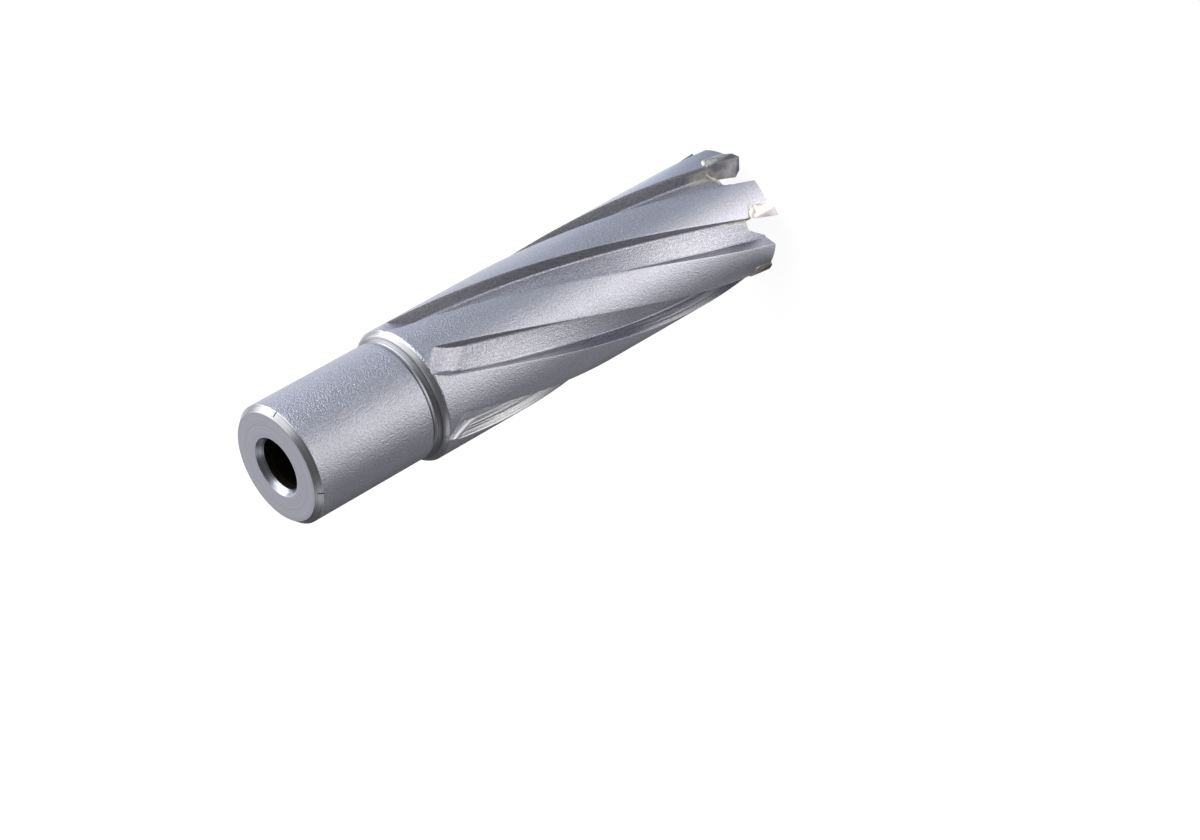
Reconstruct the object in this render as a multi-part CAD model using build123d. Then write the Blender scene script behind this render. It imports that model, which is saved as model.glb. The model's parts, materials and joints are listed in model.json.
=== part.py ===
from build123d import *
import math
import os

# Annular cutter, also called a core drill or broach cutter: a hollow steel body with a plain
# drive shank, six right-hand flutes round the outside, and a carbide tip brazed to each tooth.
# Millimetres, +Z up. The axis is Z, and the tips' lowest points are in the plane z = 0,
# so the cutter stands on its six teeth with the shank on top, as it hangs in a spindle.

# Overall sizes
CUT_D = 22.225            # cutting circle of the tips, 7/8 in; the other radii follow from it
KERF = 4.16               # width of the ring that the tips cut
WALL = 3.71               # cutting circle to the bore of the hollow body
TOTAL_H = 93.8            # tips' points to the rear face
CORE_DEPTH = 55.0         # tips' points to the end of the hollow
CORE_CORNER = 1.0         # chamfer between the hollow's wall and its end

# Shank
SHANK_D = 19.05           # 3/4 in
SHANK_LEN = 21.8          # rear face to the relief groove
REAR_CHAMFER_W = 0.83     # radial
REAR_CHAMFER_L = 0.95     # along the axis
GROOVE_LEN = 1.0          # relief groove between shank and shoulder
GROOVE_DEPTH = 0.35
GROOVE_FLOOR_LEN = 0.4    # flat bottom of the groove, between its two sloping sides
PIN_BORE_D = 8.2          # passage of the pilot pin, right through to the hollow
COUNTERSINK_D = 9.46      # at the rear face
COUNTERSINK_ANGLE = 60.0

# Drive flats, two of them, a quarter turn apart, for the spindle's grub screws
FLAT_DEPTH = 1.3
FLAT_LEN = 12.0
FLAT_FROM_REAR = 6.0
FLAT_ANGLE = 45.0

# Fluted body
SHOULDER_CHAMFER_L = 1.3  # along the axis
SIDE_CLEAR_TEETH = 0.23   # cutting circle to the lands, at the teeth
SIDE_CLEAR_SHOULDER = 0.43  # a little more at the shoulder, so that the body can't rub
BODY_END_GAP = 1.4        # the steel stops this far above the tips' points

# Flutes
TEETH = 6
HELIX_LEAD = 231.0        # length of one full turn of a flute
FLUTE_DEPTH = 2.51        # cutting circle to the two corners of the floor
FLUTE_FLOOR_ARC = 26.0    # degrees between those corners
FLUTE_HEEL_LEAN = 6.0     # lean of the heel wall from the radius through its corner

# Run-out, the curve by which the milling wheel leaves the metal at the shoulder end
WHEEL_R = 17.5
WHEEL_FROM_SHOULDER = 8.4  # shoulder to the wheel's last centre
WHEEL_TURN = 20.2         # degrees from the cutting face to the wheel's middle
WHEEL_SINK = 0.02         # how far under the floor's corner the wheel's lowest line lies
WHEEL_FLANK = 28.0        # slope of the wheel's flank on the heel side

# Gullet, the notch through the wall ahead of each tip, widening from the bore's side to the rim
GULLET_STRAIGHT = 3.11    # deeper than this under the cutting circle it runs straight in
GULLET_IN_ROOT_H = 4.5    # height of the root there
GULLET_IN_ROOT_W = 2.4    # width of the root there
GULLET_IN_SLOPE = 0.7     # forward lean of the back wall there
GULLET_RIM_ROOT_H = 7.0   # the same three at the rim
GULLET_RIM_ROOT_W = 7.0
GULLET_RIM_SLOPE = 0.1
GULLET_CORNER_R = 1.0     # round of the root's two corners

# Carbide tips
TIP_LEN = 5.7             # points to the upper end, along the axis
TIP_THICK = 2.0
TIP_PROUD = 0.15          # the cutting face stands this far out of the flute's wall
TIP_CORNER_R = 1.3        # round at the upper back corner
TIP_PEAK = 2.81           # cutting circle to the roof's lowest point
TIP_OUTER_RISE = 0.4      # the outer corner's height over the peak
TIP_INNER_RISE = 0.45     # the inner corner's height over the peak
TIP_SIDE_RELIEF = 0.8     # offset of the outer relief circle
TIP_INNER_TAPER_H = 3.4   # where the tips' inside meets the body's bore
RELIEF_ANGLE = 7.0
RELIEF_LAND = 1.4         # width of the first relief
BACK_ANGLE = 50.0         # slope behind the first relief
BRAZE_GAP = 0.15
SEAT_AHEAD = 0.6          # the seat's pocket runs out this far ahead of the cutting face

# Sizes worked out from those above
CUT_R = CUT_D / 2
CORE_R = CUT_R - WALL
SHANK_R = SHANK_D / 2
TEETH_R = CUT_R - SIDE_CLEAR_TEETH
SHOULDER_R = CUT_R - SIDE_CLEAR_SHOULDER
FLUTE_FLOOR_R = CUT_R - FLUTE_DEPTH
GULLET_STRAIGHT_R = CUT_R - GULLET_STRAIGHT
TIP_PEAK_R = CUT_R - TIP_PEAK
TIP_BORE_R = CUT_R - KERF
PITCH = 360 / TEETH
TWIST = 360 / HELIX_LEAD  # degrees that a flute turns for each millimetre up
RAKE_SLOPE = math.tan(math.radians(TWIST)) * CUT_R  # lean of the cutting face at the rim
RAKE_ANGLE = math.degrees(math.atan(RAKE_SLOPE))
SEAM_ANGLE = FLAT_ANGLE - PITCH
GROOVE_TOP = TOTAL_H - SHANK_LEN
GROOVE_BOTTOM = GROOVE_TOP - GROOVE_LEN
SHOULDER_Z = GROOVE_BOTTOM - SHOULDER_CHAMFER_L
CLEAR = 1.5               # how far a cut runs past the metal
OUTSIDE_R = CUT_R + CLEAR
INSIDE_R = TIP_BORE_R - CLEAR
BELOW = -CLEAR
ABOVE = TOTAL_H + CLEAR


def polar(radius, degrees):
    angle = math.radians(degrees)
    return Vector(radius * math.cos(angle), radius * math.sin(angle))


def slope_of(degrees):
    return math.tan(math.radians(degrees))


def turned(points):
    """Solid turned from a closed outline of (radius, height) points."""
    outline = make_face(Polyline(*[(r, 0, z) for r, z in points], close=True))
    return revolve(outline, Axis.Z)


def rod(radius, low, high):
    return turned([(0, low), (radius, low), (radius, high), (0, high)])


# The blank: the body as it leaves the lathe

def blank_outside():
    """Fluted length, shoulder, relief groove, shank and rear chamfer, turned in one outline."""
    middle = (GROOVE_TOP + GROOVE_BOTTOM) / 2
    return turned(
        [
            (0, BODY_END_GAP),
            (TEETH_R, BODY_END_GAP),
            (SHOULDER_R, SHOULDER_Z),
            (SHANK_R, GROOVE_BOTTOM),
            (SHANK_R - GROOVE_DEPTH, middle - GROOVE_FLOOR_LEN / 2),
            (SHANK_R - GROOVE_DEPTH, middle + GROOVE_FLOOR_LEN / 2),
            (SHANK_R, GROOVE_TOP),
            (SHANK_R, TOTAL_H - REAR_CHAMFER_L),
            (SHANK_R - REAR_CHAMFER_W, TOTAL_H),
            (0, TOTAL_H),
        ]
    )


def hollow():
    """The core's room, open at the teeth, with a chamfer at its closed end."""
    return turned(
        [
            (0, BELOW),
            (CORE_R, BELOW),
            (CORE_R, CORE_DEPTH - CORE_CORNER),
            (CORE_R - CORE_CORNER, CORE_DEPTH),
            (0, CORE_DEPTH),
        ]
    )


def pin_passage():
    """Bore for the pilot pin, with its countersink at the rear face."""
    bore = rod(PIN_BORE_D / 2, CORE_DEPTH - CLEAR, ABOVE)
    spread = slope_of(COUNTERSINK_ANGLE / 2)
    mouth = COUNTERSINK_D / 2
    point = TOTAL_H - mouth / spread
    cone = turned([(0, point), (mouth + CLEAR * spread, ABOVE), (0, ABOVE)])
    return bore + cone


def blank():
    """The turned faces start and end at the seam's angle, where no flat crosses them."""
    return Rot(0, 0, SEAM_ANGLE) * (blank_outside() - hollow() - pin_passage())


def drive_flat(angle):
    """The metal milled off the shank for one flat."""
    cut = Box(SHANK_R, SHANK_D, FLAT_LEN, align=(Align.MIN, Align.CENTER, Align.MAX))
    return Rot(0, 0, angle) * Pos(SHANK_R - FLAT_DEPTH, 0, TOTAL_H - FLAT_FROM_REAR) * cut


# One flute. Its cutting face starts at angle 0 in the plane z = 0 and turns with the helix.

def flute_section():
    """Room of a flute across the axis: floor, cutting face, open rim and the heel's wall."""
    rake_corner = polar(FLUTE_FLOOR_R, 0)
    heel_corner = polar(FLUTE_FLOOR_R, -FLUTE_FLOOR_ARC)
    wall = polar(1, -FLUTE_FLOOR_ARC - FLUTE_HEEL_LEAN)
    depth = OUTSIDE_R - FLUTE_FLOOR_R
    heel_rim = heel_corner + wall * (depth / math.cos(math.radians(FLUTE_HEEL_LEAN)))
    rake_rim = polar(OUTSIDE_R, 0)
    return make_face(Polyline(rake_corner, rake_rim, heel_rim, heel_corner, close=True))


def wheel_frame():
    """Plane at the wheel's last centre, X along its axle to the heel and Z up the flute."""
    height = SHOULDER_Z - WHEEL_FROM_SHOULDER
    angle = TWIST * height - WHEEL_TURN
    outward = polar(1, angle)
    heelward = polar(1, angle - 90)
    up = Vector(0, 0, 1)
    lean = math.radians(RAKE_ANGLE)
    axle = heelward * math.cos(lean) + up * math.sin(lean)
    along = up * math.cos(lean) - heelward * math.sin(lean)
    lowest = FLUTE_FLOOR_R * math.cos(math.radians(WHEEL_TURN)) - WHEEL_SINK
    centre = outward * (lowest + WHEEL_R) + up * height
    return Plane(origin=centre, x_dir=axle, z_dir=along), lowest


def milled_room():
    """All that the wheel can reach: everything below its last centre, and its own disc."""
    frame, lowest = wheel_frame()
    heel_corner = polar(FLUTE_FLOOR_R, FLUTE_FLOOR_ARC - WHEEL_TURN)
    flank = slope_of(WHEEL_FLANK)
    edge = heel_corner.Y * math.cos(math.radians(RAKE_ANGLE)) - (heel_corner.X - lowest) * flank
    reach = 2 * TOTAL_H
    below = Box(reach, reach, reach, align=(Align.CENTER, Align.CENTER, Align.MAX))
    profile = Polyline(
        (-reach, 0),
        (-reach, WHEEL_R),
        (edge, WHEEL_R),
        (edge + WHEEL_R * flank, 0),
        close=True,
    )
    disc = revolve(make_face(profile), Axis.X)
    return frame * (below + disc)


def flute():
    """Twisted room of one flute, closed at the shoulder end by the wheel's curve."""
    height = TOTAL_H - BELOW
    start = Rot(0, 0, TWIST * BELOW) * Pos(0, 0, BELOW) * flute_section()
    twisted = Solid.extrude_linear_with_rotation(
        start.face(), (0, 0, BELOW), (0, 0, height), TWIST * height
    )
    return twisted & milled_room()


# Teeth. In the tooth's frame X runs backward round the rim, Y up and Z outward.
TOOTH = Plane(origin=(0, 0, 0), x_dir=(0, 1, 0), z_dir=(1, 0, 0))


def rake_x(height):
    return height * RAKE_SLOPE


def gullet_outline(outward):
    """Gullet seen along the radius, at one distance from the axis."""
    part = (outward - GULLET_STRAIGHT_R) / (TEETH_R - GULLET_STRAIGHT_R)
    root_h = GULLET_IN_ROOT_H + (GULLET_RIM_ROOT_H - GULLET_IN_ROOT_H) * part
    root_w = GULLET_IN_ROOT_W + (GULLET_RIM_ROOT_W - GULLET_IN_ROOT_W) * part
    slope = GULLET_IN_SLOPE + (GULLET_RIM_SLOPE - GULLET_IN_SLOPE) * part
    back_x = rake_x(root_h) - root_w
    outline = Polyline(
        (rake_x(BELOW), BELOW),
        (rake_x(root_h), root_h),
        (back_x, root_h),
        (back_x - (root_h - BELOW) * slope, BELOW),
        close=True,
    )
    face = make_face(outline)
    root_corners = face.vertices().sort_by(Axis.Y)[-2:]
    return TOOTH * Pos(0, 0, outward) * fillet(root_corners, GULLET_CORNER_R)


def gullet():
    """Notch through the wall: straight through the bore's side, then flaring to the rim."""
    throat = gullet_outline(GULLET_STRAIGHT_R)
    flare = loft([throat, gullet_outline(OUTSIDE_R)], ruled=True)
    straight = extrude(throat, GULLET_STRAIGHT_R - INSIDE_R, dir=(-1, 0, 0))
    return flare + straight


def seat_outline(ahead, margin):
    """Tip's outline along the radius, grown by a margin at its back and its upper end."""
    top = TIP_LEN + margin
    back = TIP_THICK / math.cos(math.radians(RAKE_ANGLE)) - TIP_PROUD + margin
    outline = Polyline(
        (rake_x(BELOW) - ahead, BELOW),
        (rake_x(top) - ahead, top),
        (rake_x(top) + back, top),
        (rake_x(BELOW) + back, BELOW),
        close=True,
    )
    face = make_face(outline)
    corner = face.vertices().sort_by_distance((rake_x(top) + back, top))[0]
    return fillet(corner, TIP_CORNER_R + margin)


def seat(ahead, margin):
    """Block of the seat's outline, right through the wall."""
    outline = TOOTH * Pos(0, 0, INSIDE_R) * seat_outline(ahead, margin)
    return extrude(outline, OUTSIDE_R - INSIDE_R, dir=(1, 0, 0))


def tip_block():
    return seat(TIP_PROUD, 0)


def over_roof(angle, land):
    """Room over the tip's two-facet roof, rising backward at an angle from the land's end."""
    slope = slope_of(angle)
    start = -TIP_THICK
    run = Vector(0, 4 * TIP_THICK, 4 * TIP_THICK * slope)
    peak_z = land * slope_of(RELIEF_ANGLE) + (start - land) * slope
    outer_z = peak_z + (OUTSIDE_R - TIP_PEAK_R) * TIP_OUTER_RISE / (CUT_R - TIP_PEAK_R)
    inner_z = peak_z + (TIP_PEAK_R - INSIDE_R) * TIP_INNER_RISE / (TIP_PEAK_R - TIP_BORE_R)
    outline = Polyline(
        (INSIDE_R, start, inner_z),
        (TIP_PEAK_R, start, peak_z),
        (OUTSIDE_R, start, outer_z),
        (OUTSIDE_R, start, peak_z + 2 * TIP_LEN),
        (INSIDE_R, start, peak_z + 2 * TIP_LEN),
        close=True,
    )
    return extrude(make_face(outline), run.length, dir=run.normalized())


def outer_relief():
    """Cylinder set a little ahead of the axis, so that a tip's outside falls away backward."""
    radius = math.hypot(CUT_R, TIP_SIDE_RELIEF)
    return Pos(0, -TIP_SIDE_RELIEF, 0) * rod(radius, BELOW, TOTAL_H)


def inner_relief():
    """Room inside the tips: a shallow cone that opens into the body's bore."""
    slope = (CORE_R - TIP_BORE_R) / (TIP_INNER_TAPER_H - TIP_INNER_RISE)
    mouth = TIP_BORE_R - (TIP_INNER_RISE - BELOW) * slope
    return turned(
        [
            (0, BELOW),
            (mouth, BELOW),
            (CORE_R, TIP_INNER_TAPER_H),
            (CORE_R, CORE_DEPTH),
            (0, CORE_DEPTH),
        ]
    )


def tip():
    """Carbide tip: flat cutting face, two-facet roof, relief behind every edge."""
    roofed = tip_block() & over_roof(RELIEF_ANGLE, 0) & over_roof(BACK_ANGLE, RELIEF_LAND)
    return (roofed & outer_relief()) - inner_relief()


def braze(one_flute):
    """Silver braze in the gap behind and above a tip, level with the body's skin."""
    film = seat(TIP_PROUD, BRAZE_GAP) - tip_block()
    return (film & blank()) - one_flute


# The whole cutter

def around(shape):
    return [Rot(0, 0, PITCH * i) * shape for i in range(TEETH)]


def body(one_flute):
    steel = blank()
    for angle in (FLAT_ANGLE, FLAT_ANGLE + 90):
        steel = steel - drive_flat(angle)
    for cut in (one_flute, gullet(), seat(SEAT_AHEAD, BRAZE_GAP)):
        steel = steel - around(cut)
    return steel


def write(node, shape):
    export_step(shape, f"parts/{node}.step")
    print(node, f"{shape.volume:.1f} mm3", "valid" if shape.is_valid else "not valid")


def main():
    os.makedirs("parts", exist_ok=True)
    one_flute = flute()
    write("cutter_body", body(one_flute))
    tips = around(tip())
    films = around(braze(one_flute))
    for i in range(TEETH):
        write(f"carbide_tip_{i + 1}", tips[i])
        write(f"braze_joint_{i + 1}", films[i])


main()
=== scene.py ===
# %% [markdown]
# # An annular cutter, dressed with Blender
# The object is a hollow drill: a thick steel tube with six spiral flutes, a plain round shank on
# top, and a small carbide tip brazed to each of its six teeth. A machinist turns the blank on a
# lathe, mills the flutes and the notches, brazes the tips in and grinds them. This lesson goes the
# same way, because a shape that is made in the order of the real one comes out like it.
#
# The first cell loads the measured model. Its pieces are the fixed frame: nothing here moves them,
# and every piece that we make stands where a measured piece stands.

# %% Load the frame
import json
import math

import bmesh
import bpy
import numpy as np
from mathutils import Matrix, Vector

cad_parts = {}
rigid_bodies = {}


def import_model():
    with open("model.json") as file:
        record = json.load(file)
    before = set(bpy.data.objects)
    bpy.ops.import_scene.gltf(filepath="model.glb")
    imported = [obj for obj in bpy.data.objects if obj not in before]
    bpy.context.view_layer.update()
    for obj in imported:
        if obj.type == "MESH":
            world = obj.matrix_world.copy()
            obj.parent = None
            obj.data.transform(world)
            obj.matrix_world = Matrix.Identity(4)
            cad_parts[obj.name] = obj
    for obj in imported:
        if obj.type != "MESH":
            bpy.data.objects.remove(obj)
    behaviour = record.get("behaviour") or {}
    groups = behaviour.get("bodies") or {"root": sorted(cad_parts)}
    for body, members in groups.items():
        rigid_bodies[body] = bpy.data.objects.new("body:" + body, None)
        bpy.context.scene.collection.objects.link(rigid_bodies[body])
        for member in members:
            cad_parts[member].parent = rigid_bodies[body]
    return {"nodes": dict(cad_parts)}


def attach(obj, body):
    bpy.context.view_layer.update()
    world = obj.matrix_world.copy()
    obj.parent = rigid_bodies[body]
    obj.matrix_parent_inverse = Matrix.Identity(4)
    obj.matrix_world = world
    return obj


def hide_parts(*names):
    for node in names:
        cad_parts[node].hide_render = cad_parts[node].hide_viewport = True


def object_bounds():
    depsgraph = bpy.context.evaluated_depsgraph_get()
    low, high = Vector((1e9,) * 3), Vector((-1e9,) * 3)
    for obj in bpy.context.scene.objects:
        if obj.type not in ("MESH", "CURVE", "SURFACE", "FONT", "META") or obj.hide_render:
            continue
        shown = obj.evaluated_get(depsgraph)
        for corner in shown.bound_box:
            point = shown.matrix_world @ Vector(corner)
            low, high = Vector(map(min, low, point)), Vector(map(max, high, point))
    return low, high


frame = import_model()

frame_low, frame_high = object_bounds()
print("frame's nodes:", len(frame["nodes"]), "height in mm:", round(frame_high.z * 1000, 2))

# %% [markdown]
# ## Sizes
# A lathe hand reads a drawing first. These are the drawing's numbers, in millimetres, measured from
# the axis and up from the points of the tips. Blender counts in metres, so each finished mesh is
# scaled by MM once, at the moment when it becomes an object.

# %% The drawing
MM = 0.001
TEETH = 6
PITCH = 360 / TEETH
CUT_R = 11.1125
TEETH_R = CUT_R - 0.23
SHOULDER_R = CUT_R - 0.43
CORE_R = CUT_R - 3.71
SHANK_R = 9.525
BODY_END_Z = 1.4
CORE_TOP_Z = 55.0
SHOULDER_Z = 69.7
GROOVE_BOTTOM_Z = 71.0
GROOVE_TOP_Z = 72.0
TOTAL_H = 93.8
print("cutting circle:", 2 * CUT_R, "shank:", 2 * SHANK_R, "height:", TOTAL_H)

# %% [markdown]
# ## The camera
# The photograph was taken from above the shank's end with a long lens, and the cutter lay
# diagonally in the picture. Here the cutter stands upright, so the camera does the leaning: it looks
# down on the shank at 33 degrees and is rolled about its own line of sight until the axis runs
# diagonally in the frame. A camera looks along its own -Z, with +Y up in the picture, so three
# directions at right angles to each other place it completely.

# %% Camera
LENS_MM, SENSOR_MM = 96, 36
CLIP_START, CLIP_END = 0.01, 20
SEEN_FROM = Vector((-56.402, -405.802, 306.886))
LINE_OF_SIGHT = Vector((0.07901, 0.83586, -0.54323)).normalized()
PICTURE_UP = Vector((0.82932, -0.35750, -0.42945)).normalized()
PICTURE_RIGHT = LINE_OF_SIGHT.cross(PICTURE_UP).normalized()


def with_settings(thing, **settings):
    """The same camera, lamp, node or modifier, with these properties set."""
    for name, value in settings.items():
        setattr(thing, name, value)
    return thing


def in_scene(name, data):
    """New object with this data, linked to the scene."""
    made = bpy.data.objects.new(name, data)
    bpy.context.scene.collection.objects.link(made)
    return made


camera_data = with_settings(bpy.data.cameras.new("camera"), lens=LENS_MM, sensor_width=SENSOR_MM)
camera = in_scene("camera", with_settings(camera_data, clip_start=CLIP_START, clip_end=CLIP_END))
turn = Matrix((PICTURE_RIGHT, PICTURE_RIGHT.cross(LINE_OF_SIGHT), -LINE_OF_SIGHT)).transposed()
camera.matrix_world = Matrix.Translation(SEEN_FROM * MM) @ turn.to_4x4()
bpy.context.scene.camera = camera
print("camera is", round(SEEN_FROM.length), "mm from the origin")

# %% [markdown]
# ## Floor and background
# The cutter stands on a plain white table. What the camera sees of it has to come out white, but a
# floor that is bright enough for that would also flood the steel with light from below. So the
# floor's shader has two parts: an ordinary matt surface, which takes the lamps' light and the
# cutter's shadow, and a glow that only camera and mirror rays meet. Light Path tells them apart.
#
# Steel shows mostly what it mirrors, and an upright cutter seen from above mirrors the table.
# A photographer therefore lays white and grey cards round a shiny thing. Here a ring of such cards
# is drawn into the glow that the mirrors see: a Gradient Texture gives the direction from the middle
# of the table, and a Color Ramp gives each direction its card's brightness. Close to the cutter the
# cards are a little brighter, so the teeth gleam more than the shank. A second ramp tints the cards:
# the dim ones are bluish, like a shadow under a window, and the bright ones are warm.
#
# The first cell only holds helpers that make nodes and wire them. All the finishes use them.

# %% Node helpers
def feed(target, sources):
    """Fills a node's inputs: a socket is wired in, a number or a colour is written in."""
    for name, source in sources.items():
        socket = target.inputs[name]
        if isinstance(source, bpy.types.NodeSocket):
            target.id_data.links.new(source, socket)
        elif socket.type == "RGBA":
            socket.default_value = (*source, 1)
        else:
            socket.default_value = source


def first_node(tree, kind, **settings):
    """Outputs of a new node that reads nothing, where a pattern starts."""
    return with_settings(tree.nodes.new("ShaderNode" + kind), **settings).outputs


def node(kind, sources, **settings):
    """New shader node with its inputs, in the node tree of the sockets that it reads."""
    tree = next(s.id_data for s in sources.values() if isinstance(s, bpy.types.NodeSocket))
    made = with_settings(tree.nodes.new("ShaderNode" + kind), **settings)
    feed(made, sources)
    return made


def calculated(operation, *values):
    """Math node on sockets and numbers."""
    return node("Math", dict(enumerate(values)), operation=operation).outputs[0]


def length_of(place):
    return node("VectorMath", {0: place}, operation="LENGTH").outputs["Value"]


def ranged(value, low, high, start=0.0, end=1.0, interpolation="SMOOTHSTEP"):
    """Number that runs from start to end while the value runs from low to high."""
    span = {"Value": value, "From Min": low, "From Max": high, "To Min": start, "To Max": end}
    return node("MapRange", span, interpolation_type=interpolation).outputs["Result"]


def blended(share, below, above):
    """Colour that goes from below to above as the share goes from 0 to 1."""
    sources = {"Factor": share, "A": below, "B": above}
    return node("Mix", sources, data_type="RGBA").outputs["Result"]


def ramp(value, stops, interpolation="LINEAR"):
    """Color Ramp through stops, each one a position and a colour."""
    made = node("ValToRGB", {"Fac": value})
    made.color_ramp.interpolation = interpolation
    elements = made.color_ramp.elements
    elements[0].position, elements[1].position = stops[0][0], stops[-1][0]
    for position, _ in stops[1:-1]:
        elements.new(position)
    for element, (_, colour) in zip(elements, stops):
        element.color = (*colour, 1)
    return made.outputs["Color"]


def new_material(name, colour, roughness, metallic=1.0):
    """Material with one plain surface, and its node tree."""
    made = bpy.data.materials.new(name)
    made.use_nodes = True
    plain = {"Base Color": colour, "Roughness": roughness, "Metallic": metallic}
    feed(made.node_tree.nodes["Principled BSDF"], plain)
    return made, made.node_tree


# %% Floor
FLOOR_GREY = (0.16, 0.16, 0.16)
FLOOR_ROUGHNESS, FLOOR_GLOSS = 0.9, 0.1
FLOOR_GLOW = 0.93
FLOOR_HALF = 2.0
# Each card is a direction in degrees and a brightness, each tint a direction and a colour.
CARDS = (
    (-180, 0.05), (-150, 0.5), (-132, 1.15), (-116, 1.78), (-100, 1.3), (-82, 0.64), (-60, 0.23),
    (-30, 0.21), (0, 0.42), (30, 0.88), (60, 0.8), (85, 0.0), (125, 0.0), (150, 0.3), (180, 0.05),
)
NEUTRAL, WARM, BLUISH = (1.0, 1.0, 1.0), (1.01, 0.98, 0.93), (0.82, 0.93, 1.1)
TINTS = (
    (-180, NEUTRAL), (-150, NEUTRAL), (-112, WARM), (-92, WARM),
    (-62, BLUISH), (0, BLUISH), (45, NEUTRAL), (180, NEUTRAL),
)
NEAR_M, FAR_M = 0.03, 0.13
NEAR_CARDS, FAR_CARDS = 1.35, 0.96


def seen_rays(tree, camera_share, mirror_share):
    """camera_share for camera rays, mirror_share for mirrored ones, else 0."""
    rays = first_node(tree, "LightPath")
    mirrored = calculated("MAXIMUM", rays["Is Glossy Ray"], rays["Is Transmission Ray"])
    weaker = calculated("MULTIPLY", mirrored, mirror_share)
    return calculated("MULTIPLY_ADD", rays["Is Camera Ray"], camera_share, weaker)


def round_the_table(place, cards):
    """Colours round the middle of the table, from -X round by -Y, +X and +Y."""
    sweep = node("TexGradient", {"Vector": place}, gradient_type="RADIAL")
    stops = [((azimuth + 180) / 360, colour) for azimuth, colour in cards]
    return ramp(sweep.outputs["Fac"], stops, "EASE")


def ring_of_cards(place):
    """Brightness of the cards, a little higher close to the cutter."""
    brightness = round_the_table(place, [(azimuth, (card,) * 3) for azimuth, card in CARDS])
    away = length_of(place)
    nearer = ranged(away, NEAR_M, FAR_M, NEAR_CARDS, FAR_CARDS, "LINEAR")
    return calculated("MULTIPLY", brightness, nearer)


def tint_of_cards(tree, place):
    """Colour of the cards for mirrored rays, and plain white for the camera."""
    by_camera = first_node(tree, "LightPath")["Is Camera Ray"]
    return blended(by_camera, round_the_table(place, TINTS), NEUTRAL)


def table_top():
    paint, tree = new_material("table_top_white", FLOOR_GREY, FLOOR_ROUGHNESS, 0.0)
    surface = tree.nodes["Principled BSDF"]
    feed(surface, {"Specular IOR Level": FLOOR_GLOSS})
    place = first_node(tree, "TexCoord")["Object"]
    strength = seen_rays(tree, FLOOR_GLOW, ring_of_cards(place))
    glow = node("Emission", {"Color": tint_of_cards(tree, place), "Strength": strength})
    both = node("AddShader", {0: surface.outputs[0], 1: glow.outputs[0]})
    feed(tree.nodes["Material Output"], {"Surface": both.outputs[0]})
    paint.cycles.emission_sampling = "NONE"
    return paint


floor_mesh = bpy.data.meshes.new("table_top")
corners = [(FLOOR_HALF * x, FLOOR_HALF * y, 0) for x, y in ((-1, -1), (1, -1), (1, 1), (-1, 1))]
floor_mesh.from_pydata(corners, [], [(0, 1, 2, 3)])
floor_mesh.materials.append(table_top())
floor = in_scene("table_top", floor_mesh)
floor.location.z = frame_low.z
print("floor at", round(frame_low.z / MM, 3), "mm")

# %% [markdown]
# ## Light
# Blasted steel has no picture in it, only broad soft light and dark, so the lamps shape it. The
# photograph shows one broad highlight along the middle of the cutter, a second light along its
# upper edge, and darkness along the lower edge. Large soft area lamps give such highlights their
# soft edges. Two small ones, at the left and overhead, pick out the rear face and the chamfers. The
# world gives a little even light so that no side goes black.

# %% World
WORLD_GREY = 0.1

world = bpy.data.worlds.new("studio")
bpy.context.scene.world = world
world.use_nodes = True
sky = world.node_tree
by_camera = first_node(sky, "LightPath")["Is Camera Ray"]
strength = calculated("MULTIPLY_ADD", by_camera, 1 - WORLD_GREY, WORLD_GREY)
feed(sky.nodes["Background"], {"Color": NEUTRAL, "Strength": strength})

# %% Lamps
AIM = Vector((0, 0, 45)) * MM


def soft_lamp(name, azimuth, elevation, distance, sides, watts):
    """Area lamp on a dome round the cutter. Azimuth counts from +X towards +Y, sizes are metres."""
    data = with_settings(bpy.data.lights.new(name, "AREA"), shape="RECTANGLE", energy=watts)
    data.size, data.size_y = sides
    a, e = math.radians(azimuth), math.radians(elevation)
    away = Vector((math.cos(a) * math.cos(e), math.sin(a) * math.cos(e), math.sin(e)))
    lamp = with_settings(in_scene(name, data), location=AIM + away * distance)
    lamp.rotation_mode = "QUATERNION"
    lamp.rotation_quaternion = away.to_track_quat("Z", "Y")


soft_lamp("low_side_lamp", -20, 13, 0.9, (1.26, 0.38), 9.0)
soft_lamp("high_side_lamp", 50, 36, 0.9, (1.5, 0.65), 5.4)
soft_lamp("top_side_lamp", -14, 52, 0.9, (0.7, 0.35), 1.1)
soft_lamp("left_lamp", 172, 29, 0.9, (0.5, 0.35), 0.42)
soft_lamp("overhead_lamp", 0, 88, 1.0, (0.4, 0.4), 0.45)
print("lamps:", len(bpy.data.lights))

# %% [markdown]
# ## Finishes
# Every surface of the cutter is steel, but each tool leaves its own skin, and that is what makes a
# render of bare metal look real. Picture textures could paint the marks on, but they blur up close
# and show seams. These finishes are made of nodes instead, in millimetres, so that each grain and
# each tool mark has the size of the real one and lies where the tool ran.

# %% Pattern helpers
def in_millimetres(tree):
    place = first_node(tree, "TexCoord")["Object"]
    return node("VectorMath", {0: place, "Scale": 1 / MM}, operation="SCALE").outputs[0]


def parts_of(place):
    """Outputs X, Y and Z of a place."""
    return node("SeparateXYZ", {0: place}).outputs


def squeezed(place, scale):
    """Place whose patterns are finer along the axes with a large scale."""
    return node("Mapping", {"Vector": place, "Scale": scale}).outputs[0]


def speckle(place, grain, detail=2.0, waviness=0.0, dimensions="3D"):
    """Noise between 0 and 1 whose spots are about one grain wide."""
    sources = {"Vector": place, "Scale": 1 / grain, "Detail": detail, "Distortion": waviness}
    return node("TexNoise", sources, noise_dimensions=dimensions).outputs["Fac"]


def tone(value, dark, light, low, high):
    """Colour between dark and light where the value runs from low to high."""
    return ramp(value, ((low, dark), (high, light)))


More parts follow.
